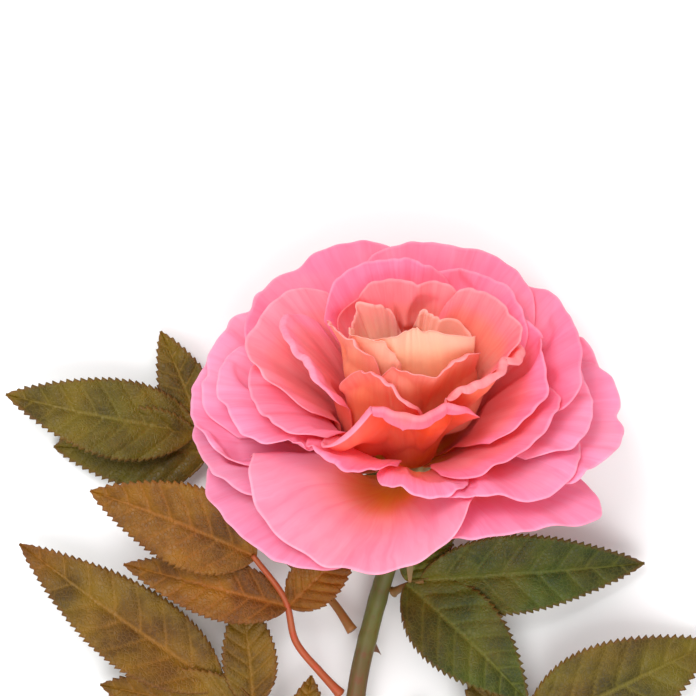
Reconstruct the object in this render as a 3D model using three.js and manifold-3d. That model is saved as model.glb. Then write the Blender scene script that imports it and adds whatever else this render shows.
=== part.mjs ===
// A cut garden rose lying on a flat surface: one large double bloom on its own stem, with a hip,
// five sepals, compound leaves and prickles. Millimetres, +Z up, surface at Z = 0.
// The stem runs along -Y from the bloom, and the bloom faces up and away from it.
import * as THREE from 'three';
import { mergeVertices } from 'three/addons/utils/BufferGeometryUtils.js';
import Module from 'manifold-3d';

const wasm = await Module();
wasm.setup();

// ---- driving dimensions -------------------------------------------------------------------
const BLOOM_TILT = 45;          // degrees between the bloom's axis and straight up
const BLOOM_SIZE = 1;           // scale of every petal length, 1 gives a bloom 120 mm across
const CLAW_START = 7;           // distance from the bloom's base to the foot of each petal
const CLAW_FIRST = 14;          // opening of the first claw, in degrees from the bloom's axis
const CLAW_STEP = 2.3;          // and how much further out each later claw springs
const PETAL_THICKNESS = 0.5;
const CLAW_THICKNESS = 0.3;
const PETAL_ACROSS = 10;        // steps across each petal
const PETAL_ALONG = 8;          // and from its foot to its rim
const LAYER_GAP_CLAW = 0.12 * CLAW_START;  // spacing of overlapping petals at their foot
const LAYER_GAP_RIM = 1.75;     // and further out
const DRAPE_MARGIN = 0.1;       // a petal clears an inner one this share of its distance past the edge
const DRAPE_SLOPE = 0.4;        // sinks back by this much for each mm beyond that
const DRAPE_FALL = 0.12;        // and by this much more for each square mm
const HIP_LENGTH = 13;
const HIP_RADIUS = 5.2;
const STEM_RADIUS = 2.7;
const STEM_LENGTH = 232;        // from the bloom's base to the cut end, along the surface
const SEPAL_LENGTH = 25;
const LEAFLET_THICKNESS = 0.8;
const STALK_RADIUS = 0.95;
const PRICKLE_LENGTH = 4.2;
const JOINT_GAP = 0.35;         // clearance between neighbouring pieces

const COLOURS = {
  petal: 0xf4829c,
  heart: 0xf9b483,
  leaf: 0x4f5a23,
  stem: 0x6b7433,
  hip: 0x5f7a34,
  sepal: 0x5f7a34,
};

// ---- petals -------------------------------------------------------------------------------
// Listed from the heart of the bloom outwards. Each petal is described around the bloom's axis:
//   azimuth, half     its middle direction and half its width, in degrees
//   rim               opening angle from the axis at five places across the rim
//   reach             distance of the rim from the bloom's base on its first side, middle and last
//   flare             how many degrees the last third bends outwards
// A bloom seen from above has azimuth 0 to the right and 90 at the back, on the surface.
const PETALS = [
  { name: 'heart_petal_1', azimuth: 90, half: 115, rim: [6, 6, 5, 5, 6], reach: [42, 43, 43], flare: -4 },
  { name: 'heart_petal_2', azimuth: -86, half: 86, rim: [16, 7, 4, 7, 18], reach: [55, 57, 56], flare: -7, corner: 0.05 },
  { name: 'heart_petal_3', azimuth: -150, half: 42, rim: [16, 10, 8, 9, 11], reach: [56, 56, 53], flare: -5, corner: 0.08 },
  { name: 'heart_petal_4', azimuth: 138, half: 40, rim: [16, 18, 19, 17, 11], reach: [50, 52, 53], flare: 0, corner: 0.26 },
  { name: 'heart_petal_5', azimuth: 50, half: 42, rim: [17, 14, 12, 12, 12], reach: [47, 51, 51], flare: 2, corner: 0.26 },
  { name: 'inner_petal_1', azimuth: 190, half: 40, rim: [29, 24, 19, 15, 12], reach: [55, 57, 52], flare: 1 },
  { name: 'inner_petal_2', azimuth: -68, half: 72, rim: [14, 14, 16, 17, 22], reach: [53, 51, 55], flare: 2 },
  { name: 'inner_petal_3', azimuth: 24, half: 36, rim: [29, 31, 29, 22, 17], reach: [54, 58, 57], flare: 2 },
  { name: 'inner_petal_4', azimuth: -117, half: 41, rim: [28, 21, 19, 22, 27], reach: [52, 53, 47], flare: 2 },
  { name: 'inner_petal_5', azimuth: -25, half: 42, rim: [23, 24, 27, 30, 34], reach: [50, 53, 56], flare: 4 },
  { name: 'inner_petal_6', azimuth: 90, half: 54, rim: [26, 20, 17, 21, 27], reach: [56, 57, 56], flare: 3 },
  { name: 'middle_petal_1', azimuth: 104, half: 42, rim: [31, 26, 25, 30, 36], reach: [60, 60, 60], flare: 3 },
  { name: 'middle_petal_2', azimuth: 178, half: 33, rim: [40, 38, 34, 32, 31], reach: [60, 56, 50], flare: 3 },
  { name: 'middle_petal_3', azimuth: 165, half: 38, rim: [40, 44, 50, 45, 42], reach: [60, 60, 53], flare: 3 },
  { name: 'middle_petal_4', azimuth: 50, half: 38, rim: [41, 37, 33, 31, 33], reach: [58, 58, 57], flare: 4 },
  { name: 'middle_petal_5', azimuth: 192, half: 28, rim: [48, 51, 52, 50, 43], reach: [57, 55, 51], flare: 12 },
  { name: 'middle_petal_6', azimuth: -91, half: 52, rim: [40, 28, 29, 26, 35], reach: [50, 51, 51], flare: 4, waist: 0.72 },
  { name: 'middle_petal_7', azimuth: -4, half: 38, rim: [46, 45, 42, 38, 36], reach: [49, 54, 58], flare: 4 },
  { name: 'middle_petal_8', azimuth: -36, half: 38, rim: [50, 50, 51, 50, 49], reach: [46, 52, 56], flare: 4 },
  { name: 'middle_petal_9', azimuth: -124, half: 26, rim: [47, 48, 48, 47, 45], reach: [49, 48, 45], flare: 4 },
  { name: 'middle_petal_10', azimuth: 72, half: 44, rim: [50, 46, 42, 41, 42], reach: [62, 62, 62], flare: 4 },
  { name: 'middle_petal_11', azimuth: 18, half: 38, rim: [50, 52, 52, 50, 49], reach: [57, 61, 62], flare: 5 },
  { name: 'middle_petal_12', azimuth: 126, half: 42, rim: [43, 45, 49, 54, 58], reach: [63, 64, 63], flare: 5 },
  { name: 'outer_petal_1', azimuth: 187, half: 31, rim: [59, 60, 60, 58, 47], reach: [61, 59, 52], flare: 11, corner: 0.1 },
  { name: 'outer_petal_2', azimuth: -84, half: 26, rim: [49, 51, 54, 53, 51], reach: [48, 49, 47], flare: 9, corner: 0.26 },
  { name: 'outer_petal_3', azimuth: -8, half: 28, rim: [57, 60, 60, 57, 56], reach: [56, 57, 57], flare: 10 },
  { name: 'outer_petal_4', azimuth: 156, half: 34, rim: [57, 59, 62, 66, 68], reach: [63, 64, 63], flare: 5 },
  { name: 'outer_petal_5', azimuth: -45, half: 36, rim: [52, 57, 64, 64, 63], reach: [51, 55, 58], flare: 10 },
  { name: 'outer_petal_6', azimuth: 90, half: 44, rim: [53, 49, 49, 53, 58], reach: [60, 60, 61], flare: 5 },
  { name: 'outer_petal_7', azimuth: -112, half: 47, rim: [60, 71, 77, 71, 55], reach: [57, 58, 54], flare: 4, corner: 0.1 },
  { name: 'outer_petal_8', azimuth: 176, half: 26, rim: [64, 67, 68, 68, 70], reach: [63, 64, 62], flare: 7 },
  { name: 'outer_petal_9', azimuth: -7, half: 33, rim: [62, 66, 71, 70, 64], reach: [59, 62, 61], flare: 7 },
  { name: 'outer_petal_10', azimuth: 40, half: 40, rim: [66, 62, 60, 58, 57], reach: [60, 60, 60], flare: 6 },
  { name: 'outer_petal_11', azimuth: 186, half: 30, rim: [71, 73, 74, 73, 72], reach: [61, 61, 59], flare: 6 },
  { name: 'outer_petal_12', azimuth: -144, half: 34, rim: [78, 79, 80, 80, 79], reach: [60, 60, 59], flare: 5 },
  { name: 'outer_petal_13', azimuth: -52, half: 36, rim: [68, 68, 71, 76, 80], reach: [52, 56, 59], flare: 6 },
  { name: 'outer_petal_14', azimuth: 130, half: 42, rim: [60, 62, 66, 74, 79], reach: [59, 59, 59], flare: 5 },
  { name: 'outer_petal_15', azimuth: 66, half: 42, rim: [70, 67, 64, 64, 66], reach: [58, 58, 58], flare: 5 },
];
const PETAL_DEFAULTS = { flare: 5, corner: 0.18, cornerPower: 4, waist: 0.42, curve: 2.6 };
const RAD = Math.PI / 180;

// ease from 0 to 1
function ease(x) {
  const c = Math.min(Math.max(x, 0), 1);
  return c * c * (3 - 2 * c);
}

// smooth curve through five values spread evenly over t = -1 to 1
function fiveAcross(values, t) {
  const v = [2 * values[0] - values[1], ...values, 2 * values[4] - values[3]];
  const x = Math.min(Math.max((t + 1) * 2, 0), 3.99999);
  const i = Math.floor(x);
  const f = x - i;
  const [a, b, c, d] = [v[i], v[i + 1], v[i + 2], v[i + 3]];
  return b + f * (c - a) / 2 + f * f * (a - 2.5 * b + 2 * c - 0.5 * d) + f ** 3 * (1.5 * (b - c) + 0.5 * (d - a));
}

// parabola through three values at t = -1, 0 and 1
function threeAcross([a, b, c], t) {
  return b + (c - a) / 2 * t + ((a + c) / 2 - b) * t * t;
}

// distance of the rim from the base, with rounded corners
function petalReach(petal, t) {
  const rounding = 1 - petal.corner * Math.abs(t) ** petal.cornerPower;
  return BLOOM_SIZE * threeAcross(petal.reach, t) * rounding;
}

// share of the full width reached at s, 0 at the claw and 1 at the rim
function petalSpread(petal, s) {
  return petal.waist + (1 - petal.waist) * ease(s / 0.7);
}

// opening angle the petal would have if it stood alone
function petalOpening(petal, s, t) {
  const rim = fiveAcross(petal.rim, t);
  const claw = CLAW_FIRST + CLAW_STEP * petal.order;
  const settle = ease(s / 0.5);
  return claw * (1 - settle) + (rim - petal.flare) * settle + petal.flare * s ** petal.curve;
}

// nearest place (s, t) on a petal to a direction, and how far outside the petal it lies, in mm
function nearestOnPetal(petal, distance, azimuth) {
  const turn = ((azimuth - petal.azimuth + 540) % 360 + 360) % 360 - 180;
  let s = 0.8;
  let t = Math.min(Math.max(turn / petal.half, -1), 1);
  for (let step = 0; step < 9; step += 1) {
    const next = Math.min(Math.max(turn / (petal.half * petalSpread(petal, s)), -1), 1);
    t = (t + next) / 2;
    s = Math.min(Math.max((distance - CLAW_START) / (petalReach(petal, t) - CLAW_START), 0), 1);
  }
  const opening = petalOpening(petal, s, t);
  const width = petal.half * petalSpread(petal, s);
  const side = Math.max(Math.abs(turn) - width, 0) * RAD * distance * Math.sin(Math.max(opening, 4) * RAD);
  const beyond = Math.max(distance - petalReach(petal, t), 0);
  return { opening, outside: Math.hypot(side, beyond) };
}

// opening angle of petal number index once it lies outside every petal before it
function layeredOpening(index, distance, azimuth, own) {
  const spacing = LAYER_GAP_CLAW + (LAYER_GAP_RIM - LAYER_GAP_CLAW) * ease((distance - CLAW_START) / 20);
  const gap = spacing * BLOOM_SIZE / distance / RAD;
  let floor = 0;
  for (let k = 0; k < index; k += 1) {
    const near = nearestOnPetal(PETALS[k], distance, azimuth);
    const away = Math.max(near.outside - DRAPE_MARGIN * distance, 0);
    const drop = (DRAPE_SLOPE * away + DRAPE_FALL * away * away) / distance / RAD;
    floor = Math.max(floor, Math.max(near.opening, floor) + gap - drop);
  }
  return Math.max(own, floor);
}

// point of a petal's middle surface in the bloom's own frame, axis along +Z
function petalPoint(index, s, t) {
  const petal = PETALS[index];
  const distance = CLAW_START + (petalReach(petal, t) - CLAW_START) * s;
  const azimuth = petal.azimuth + petal.half * t * petalSpread(petal, s);
  const opening = layeredOpening(index, distance, azimuth, petalOpening(petal, s, t));
  const radius = distance * Math.sin(opening * RAD);
  return new THREE.Vector3(
    radius * Math.cos(azimuth * RAD),
    radius * Math.sin(azimuth * RAD),
    distance * Math.cos(opening * RAD),
  );
}

// ---- shaping tools ------------------------------------------------------------------------
// moves every vertex of a geometry and leaves a closed mesh with positions only
function reshape(geometry, place) {
  geometry.deleteAttribute('normal');
  geometry.deleteAttribute('uv');
  const merged = mergeVertices(geometry, 1e-5);
  const position = merged.getAttribute('position');
  for (let i = 0; i < position.count; i += 1) {
    const moved = place(new THREE.Vector3().fromBufferAttribute(position, i));
    position.setXYZ(i, moved.x, moved.y, moved.z);
  }
  return merged;
}

// curved sheet: surface(s, t) gives the middle, thickness(s) the full thickness
function sheet(across, along, surface, thickness) {
  const box = new THREE.BoxGeometry(2, 1, 1, across, along, 1);
  const step = 0.02;
  return reshape(box, (v) => {
    const s = v.y + 0.5;
    const t = v.x;
    const alongS = surface(Math.min(s + step, 1), t).sub(surface(Math.max(s - step, 0), t));
    const acrossT = surface(s, Math.min(t + step, 1)).sub(surface(s, Math.max(t - step, -1)));
    const normal = acrossT.cross(alongS).normalize();
    return surface(s, t).addScaledVector(normal, thickness(s) * v.z);
  });
}

// round rod along a curve, radius(u) with u from 0 to 1
function rod(curve, radius, sides, steps) {
  const cylinder = new THREE.CylinderGeometry(1, 1, 1, sides, steps);
  return reshape(cylinder, (v) => {
    const u = v.y + 0.5;
    const direction = curve.getTangentAt(u);
    const right = new THREE.Vector3().crossVectors(direction, new THREE.Vector3(0, 0, 1)).normalize();
    const up = new THREE.Vector3().crossVectors(right, direction);
    const size = radius(u);
    return curve.getPointAt(u).addScaledVector(right, size * v.x).addScaledVector(up, size * v.z);
  });
}

function solidOf(geometry) {
  return new wasm.Manifold(new wasm.Mesh({
    numProp: 3,
    vertProperties: new Float32Array(geometry.getAttribute('position').array),
    triVerts: new Uint32Array(geometry.getIndex().array),
  }));
}

function geometryOf(solid) {
  const mesh = solid.getMesh();
  const geometry = new THREE.BufferGeometry();
  geometry.setAttribute('position', new THREE.BufferAttribute(mesh.vertProperties, 3));
  geometry.setIndex(new THREE.BufferAttribute(mesh.triVerts, 1));
  return geometry;
}

function joined(geometries) {
  return geometryOf(geometries.map(solidOf).reduce((all, next) => all.add(next)));
}

function piece(name, geometry, colour) {
  const material = new THREE.MeshStandardMaterial({ color: colour, roughness: 0.6, metalness: 0 });
  geometry.computeVertexNormals();
  const mesh = new THREE.Mesh(geometry, material);
  mesh.name = name;
  return mesh;
}

// ---- bloom --------------------------------------------------------------------------------
const bloom = new THREE.Group();
bloom.rotation.x = -BLOOM_TILT * RAD;

PETALS.forEach((petal, index) => {
  PETALS[index] = { ...PETAL_DEFAULTS, ...petal, order: index };
});
PETALS.forEach((petal, index) => {
  const geometry = sheet(
    PETAL_ACROSS,
    PETAL_ALONG,
    (s, t) => petalPoint(index, s, t),
    (s) => CLAW_THICKNESS + (PETAL_THICKNESS - CLAW_THICKNESS) * ease(s / 0.4),
  );
  const colour = petal.name.startsWith('heart') ? COLOURS.heart : COLOURS.petal;
  bloom.add(piece(petal.name, geometry, colour));
});

// the hip is a small urn below the petals, closed by a low dome that they spring from
const DOME = CLAW_START - 0.8;
const hipProfile = [
  [0, -HIP_LENGTH],
  [2.9, -HIP_LENGTH],
  [HIP_RADIUS * 0.9, -HIP_LENGTH * 0.72],
  [HIP_RADIUS, -HIP_LENGTH * 0.45],
  [HIP_RADIUS * 0.9, -HIP_LENGTH * 0.18],
  [DOME * 0.98, -0.8],
  [DOME * 0.94, DOME * 0.34],
  [DOME * 0.64, DOME * 0.77],
  [0, DOME],
].map(([radius, height]) => new THREE.Vector2(radius, height));
const hip = new THREE.LatheGeometry(hipProfile, 14);
hip.rotateX(Math.PI / 2);
bloom.add(piece('hip', reshape(hip, (v) => v), COLOURS.hip));

// sepals bend back from the rim of the hip
const SEPALS = [
  { azimuth: 198, length: SEPAL_LENGTH, droop: 112 },
  { azimuth: 270, length: SEPAL_LENGTH, droop: 128 },
  { azimuth: 342, length: SEPAL_LENGTH, droop: 112 },
  { azimuth: 54, length: SEPAL_LENGTH * 0.8, droop: 106 },
  { azimuth: 126, length: SEPAL_LENGTH * 0.8, droop: 106 },
];
SEPALS.forEach((sepal, index) => {
  const geometry = sheet(2, 6, (s, t) => {
    const width = 3.4 * (1 - s) ** 0.6 + 0.5;
    const opening = (100 + (sepal.droop - 100) * s) * RAD;
    const distance = DOME + 1.2 + sepal.length * s;
    const side = width * t;
    const radius = distance * Math.sin(opening);
    const height = distance * Math.cos(opening) - 1.2 - 0.4 * Math.abs(t);
    const around = sepal.azimuth * RAD;
    return new THREE.Vector3(
      radius * Math.cos(around) - side * Math.sin(around),
      radius * Math.sin(around) + side * Math.cos(around),
      height,
    );
  }, () => 0.7);
  bloom.add(piece(`sepal_${index + 1}`, geometry, COLOURS.sepal));
});

// the bloom rests on its lowest petals
bloom.updateMatrixWorld(true);
const lowest = new THREE.Box3().setFromObject(bloom, true).min.z;
bloom.position.z = -lowest;
bloom.updateMatrixWorld(true);

// ---- stem ---------------------------------------------------------------------------------
const NECK = new THREE.Vector3(0, 0, -HIP_LENGTH - JOINT_GAP - 0.3).applyMatrix4(bloom.matrixWorld);
const stemRoute = new THREE.CatmullRomCurve3([
  NECK,
  new THREE.Vector3(-0.6, NECK.y - 5, NECK.z - 3.6),
  new THREE.Vector3(-5, -26, 8.5),
  new THREE.Vector3(-10.5, -45, 8),
  new THREE.Vector3(-15, -66, 9.5),
  new THREE.Vector3(-16, -110, 11),
  new THREE.Vector3(-11, -160, 9.5),
  new THREE.Vector3(-9, -200, 6),
  new THREE.Vector3(-10, -STEM_LENGTH, STEM_RADIUS * 1.12),
]);
function stemRadius(u) {
  return STEM_RADIUS * (0.95 + 0.15 * u);
}

const prickles = [0.2, 0.27, 0.36, 0.43, 0.52, 0.6, 0.68, 0.77, 0.85, 0.92].map((u, index) => {
  const cone = new THREE.ConeGeometry(1.5, PRICKLE_LENGTH, 6);
  cone.translate(0, PRICKLE_LENGTH / 2, 0);
  cone.scale(1, 1, 0.5);
  const around = (index * 137.5 + 20) * RAD;
  const direction = stemRoute.getTangentAt(u);
  const side = new THREE.Vector3(1, 0, 0);
  const up = new THREE.Vector3().crossVectors(side, direction).normalize();
  const out = side.multiplyScalar(Math.cos(around)).addScaledVector(up, 0.55 + 0.45 * Math.sin(around)).normalize();
  const lean = out.clone().addScaledVector(direction, 0.35).normalize();
  const base = stemRoute.getPointAt(u).addScaledVector(out, stemRadius(u) - 0.5);
  const frame = new THREE.Matrix4().makeBasis(
    direction.clone().addScaledVector(lean, -direction.dot(lean)).normalize(),
    lean,
    new THREE.Vector3().crossVectors(direction, lean).normalize(),
  );
  return reshape(cone, (v) => v.applyMatrix4(frame).add(base));
});
const stem = joined([rod(stemRoute, stemRadius, 8, 26), ...prickles]);

// ---- leaves -------------------------------------------------------------------------------
// Each leaf is one stalk with leaflets. Its stalk springs from the stem at the share spring of the
// stem's length, on the side +1 (right) or -1 (left), and follows its route. A leaflet has a foot,
// a heading in degrees, a length, a width, a rise of its tip and a tilt of its blade.
const LEAVES = [
  {
    name: 'leaf_1',
    spring: 0.14,
    side: 1,
    route: [[-0.5, -34.5, 11.5], [4, -33, 14]],
    leaflets: [
      { foot: [3, -33, 14], heading: 4, length: 64, width: 25, rise: -9, tilt: 14 },
      { foot: [-1, -34, 13], heading: -44, length: 48, width: 27, rise: -1, tilt: -6 },
      { foot: [-1, -33, 13], heading: 58, length: 26, width: 15, rise: 0, tilt: 0 },
    ],
  },
  {
    name: 'leaf_2',
    spring: 0.19,
    side: -1,
    route: [[-22, -39, 6], [-32, -30, 5], [-46, -15, 4], [-58, 6, 7], [-61, 10, 8]],
    leaflets: [
      { foot: [-60, 9, 8], heading: 169, length: 55, width: 25, rise: 4, tilt: 10 },
      { foot: [-57, 3, 6], heading: 178, length: 44, width: 26, rise: -4, tilt: -8 },
      { foot: [-57, 4, 6], heading: 112, length: 36, width: 18, rise: -2, tilt: 0 },
    ],
  },
  {
    name: 'leaf_3',
    spring: 0.27,
    side: -1,
    route: [[-25, -59, 13], [-32, -50, 17], [-35, -38, 21], [-44, -25.5, 24]],
    leaflets: [
      { foot: [-43, -26, 24], heading: 158, length: 50, width: 26, rise: 4, tilt: -8 },
      { foot: [-34, -40, 21], heading: 166, length: 48, width: 19, rise: -6, tilt: 8 },
      { foot: [-34, -40, 21], heading: 42, length: 27, width: 16, rise: 2, tilt: 0 },
    ],
  },
  {
    name: 'leaf_4',
    spring: 0.4,
    side: -1,
    route: [[-27, -84, 11], [-40, -72, 11], [-54, -62, 12]],
    leaflets: [
      { foot: [-53, -63, 12], heading: 145, length: 70, width: 26, rise: -4, tilt: 10 },
      { foot: [-44, -69, 11], heading: 172, length: 44, width: 21, rise: -5, tilt: -6 },
      { foot: [-44, -69, 11], heading: 96, length: 34, width: 17, rise: 3, tilt: 6 },
      { foot: [-30, -82, 11], heading: 205, length: 30, width: 17, rise: -6, tilt: 0 },
      { foot: [-30, -82, 11], heading: 84, length: 22, width: 13, rise: -3, tilt: 0 },
    ],
  },
  {
    name: 'leaf_5',
    spring: 0.5,
    side: 1,
    route: [[-3, -107, 10], [12, -94, 8], [34, -76, 8]],
    leaflets: [
      { foot: [33, -77, 8], heading: 26, length: 60, width: 32, rise: -4, tilt: 8 },
      { foot: [24, -84, 8], heading: -22, length: 46, width: 25, rise: -6, tilt: -6 },
      { foot: [24, -84, 8], heading: 92, length: 34, width: 19, rise: -3, tilt: 4 },
      { foot: [6, -99, 8.8], heading: -38, length: 32, width: 18, rise: -6, tilt: 0 },
      { foot: [6, -99, 8.8], heading: 96, length: 30, width: 16, rise: -3, tilt: 0 },
    ],
  },
  {
    name: 'leaf_6',
    spring: 0.63,
    side: -1,
    route: [[-24, -141, 11], [-40, -132, 12], [-56, -124, 10]],
    leaflets: [
      { foot: [-55, -124, 10], heading: 156, length: 50, width: 28, rise: -3, tilt: 6 },
      { foot: [-45, -130, 12], heading: 198, length: 40, width: 23, rise: -5, tilt: -5 },
      { foot: [-45, -130, 12], heading: 100, length: 34, width: 20, rise: -3, tilt: 5 },
      { foot: [-31, -136.6, 11.5], heading: 214, length: 28, width: 16, rise: -5, tilt: 0 },
    ],
  },
];

// half width of a leaflet at s, widest just below the middle and ending in a point
function leafletHalfWidth(leaflet, s) {
  return Math.max(leaflet.width / 2 * Math.sin(Math.PI * s ** 0.8) ** 0.8 * (1 - 0.25 * s), 0.35);
}

function leafletPoint(leaflet, s, t) {
  const heading = leaflet.heading * RAD;
  const side = leafletHalfWidth(leaflet, s) * t;
  const fold = 0.16 * Math.abs(side);
  const arch = 0.06 * leaflet.length * Math.sin(Math.PI * s);
  const lift = leaflet.rise * s ** 1.5 + arch + fold + side * Math.sin(leaflet.tilt * RAD);
  const forward = leaflet.length * s;
  return new THREE.Vector3(
    leaflet.foot[0] + forward * Math.cos(heading) - side * Math.sin(heading),
    leaflet.foot[1] + forward * Math.sin(heading) + side * Math.cos(heading),
    leaflet.foot[2] + lift,
  );
}

function leafGeometry(leaf) {
  const out = new THREE.Vector3(leaf.side, 0.5, 0).normalize();
  const clearance = stemRadius(leaf.spring) * 1.15 + JOINT_GAP + STALK_RADIUS * 1.6;
  const start = stemRoute.getPointAt(leaf.spring).addScaledVector(out, clearance);
  const points = leaf.route.map((point) => new THREE.Vector3(...point));
  const route = new THREE.CatmullRomCurve3([start, ...points]);
  const stalk = rod(route, (u) => STALK_RADIUS * (1.25 - 0.4 * u), 6, 8);
  const blades = leaf.leaflets.map((leaflet) => sheet(
    2,
    6,
    (s, t) => leafletPoint(leaflet, s, t),
    () => LEAFLET_THICKNESS,
  ));
  return joined([stalk, ...blades]);
}

// ---- assembly -----------------------------------------------------------------------------
const flower = new THREE.Group();
flower.add(bloom);
flower.add(piece('stem', stem, COLOURS.stem));
LEAVES.forEach((leaf) => flower.add(piece(leaf.name, leafGeometry(leaf), COLOURS.leaf)));

// the middle of the whole flower's footprint is the origin, with the surface at Z = 0
flower.updateMatrixWorld(true);
const extent = new THREE.Box3().setFromObject(flower, true);
const middle = extent.getCenter(new THREE.Vector3());
flower.position.set(-middle.x, -middle.y, -extent.min.z);

const group = new THREE.Group();
group.add(flower);
group.updateMatrixWorld(true);

export default group;
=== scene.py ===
"""A cut garden rose lying on a pale surface, seen from straight above.

Every petal, leaf, the hip, the sepals and the stem is a surface worked out with numpy around the
same axis, routes and angles as the frame's solids. Lengths are millimetres until a mesh is made.
"""
import math
from dataclasses import dataclass

import bpy
import numpy as np
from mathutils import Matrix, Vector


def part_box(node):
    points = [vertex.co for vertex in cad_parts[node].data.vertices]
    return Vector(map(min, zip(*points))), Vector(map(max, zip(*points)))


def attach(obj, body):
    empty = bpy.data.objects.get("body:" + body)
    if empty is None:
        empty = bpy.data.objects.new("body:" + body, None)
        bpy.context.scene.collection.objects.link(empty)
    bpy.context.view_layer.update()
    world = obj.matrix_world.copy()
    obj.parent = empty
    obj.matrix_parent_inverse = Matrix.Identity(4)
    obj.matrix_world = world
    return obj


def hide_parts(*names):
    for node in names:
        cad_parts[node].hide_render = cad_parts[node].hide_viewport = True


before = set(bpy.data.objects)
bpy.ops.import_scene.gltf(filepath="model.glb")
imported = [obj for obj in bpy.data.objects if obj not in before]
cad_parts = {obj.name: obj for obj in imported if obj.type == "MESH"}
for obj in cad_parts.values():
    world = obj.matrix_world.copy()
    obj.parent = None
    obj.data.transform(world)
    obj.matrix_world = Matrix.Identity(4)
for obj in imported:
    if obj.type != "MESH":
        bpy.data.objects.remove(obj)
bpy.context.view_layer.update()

# ---- dimensions shared with the frame, in millimetres and degrees ----
BLOOM_TILT = 45
CLAW_START = 7
CLAW_FIRST = 14
CLAW_STEP = 2.3
LAYER_GAP_CLAW = 0.12 * CLAW_START
LAYER_GAP_RIM = 1.75
DRAPE_MARGIN = 0.1
DRAPE_SLOPE = 0.4
DRAPE_FALL = 0.12
DRAPE_BLEND = 0.8       # degrees over which a lifted petal leaves its own shape
GAP_GROWTH = 20         # from the claw's gap to the rim's
NEAREST_STEPS = 9
SETTLED = 0.5           # share of a petal's length by which it has left the claw's angle
FULL_WIDTH = 0.7        # share of a petal's length by which it has its full width
CORNER_POWER = 4
FLARE_POWER = 2.6
HIP_LENGTH = 13
HIP_RADIUS = 5.2
DOME = CLAW_START - 0.8
STEM_RADIUS = 2.7
STEM_LENGTH = 232
SEPAL_LENGTH = 25
STALK_RADIUS = 0.95
PRICKLE_LENGTH = 4.2
JOINT_GAP = 0.35

# ---- how finely the pieces are made ----
PETAL_ROWS = 54
ROLL_ROWS = 13
PETAL_COLUMNS = 91
PETAL_THICKNESS = 0.32
BLADE_ROWS = 190
BLADE_COLUMNS = 27
BLADE_THICKNESS = 0.36
STEM_PLACES = 300
STEM_SIDES = 24
STALK_SIDES = 12
RIM_WAVE = 1.5          # degrees
BILLOW = 3.2            # degrees
OUTLINE_WAVE = 0.012    # share of the reach
WAVE_PITCHES = (0.7, 1.3, 2.2, 3.6)
BILLOW_PITCHES = (0.5, 1.1, 1.6, 2.2)
OUTLINE_PITCHES = (0.8, 1.9, 3.1, 5.3)
ROWS_TO_RIM = 0.3       # how far the rows crowd towards the rim
ROLL_WAVE = 0.25        # share of the rolled width
ROLL_LEAST = 0.3
ROLL_AT_CORNERS = 0.4   # share of the rolled width left at the corners


@dataclass
class Petal:
    """One petal: where it stands round the bloom, how it opens, how its rim rolls, and its tints.

    azimuth and half are the middle and half the width round the axis, in degrees. rim is the
    opening from the axis at five places across, reach the rim's distance from the base at three,
    and flare the part of the opening that comes late. roll is the millimetres of rim turned back
    at five places, turn how far it turns in degrees, on an arc of radius. wave scales the waves,
    corner rounds the two corners, and waist is the share of the width left at the foot. Each
    notch is a place across, a depth and a width; a negative depth is a lobe. Warmth 0 is rose
    pink and 1 apricot, and pale lightens. The mauve value is painted shade: it cools a petal whose
    underside lies in shadow.
    pink and 1 apricot, pale lightens and mauve cools.
    """

    name: str
    azimuth: float
    half: float
    rim: tuple
    reach: tuple
    flare: float
    roll: tuple = (1, 1, 1, 1, 1)
    turn: float = 100
    radius: float = 1.2
    wave: float = 1.0
    corner: float = 0.18
    waist: float = 0.42
    warmth: float = 0.0
    pale: float = 0.0
    mauve: float = 0.0
    notches: tuple = ()


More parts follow.
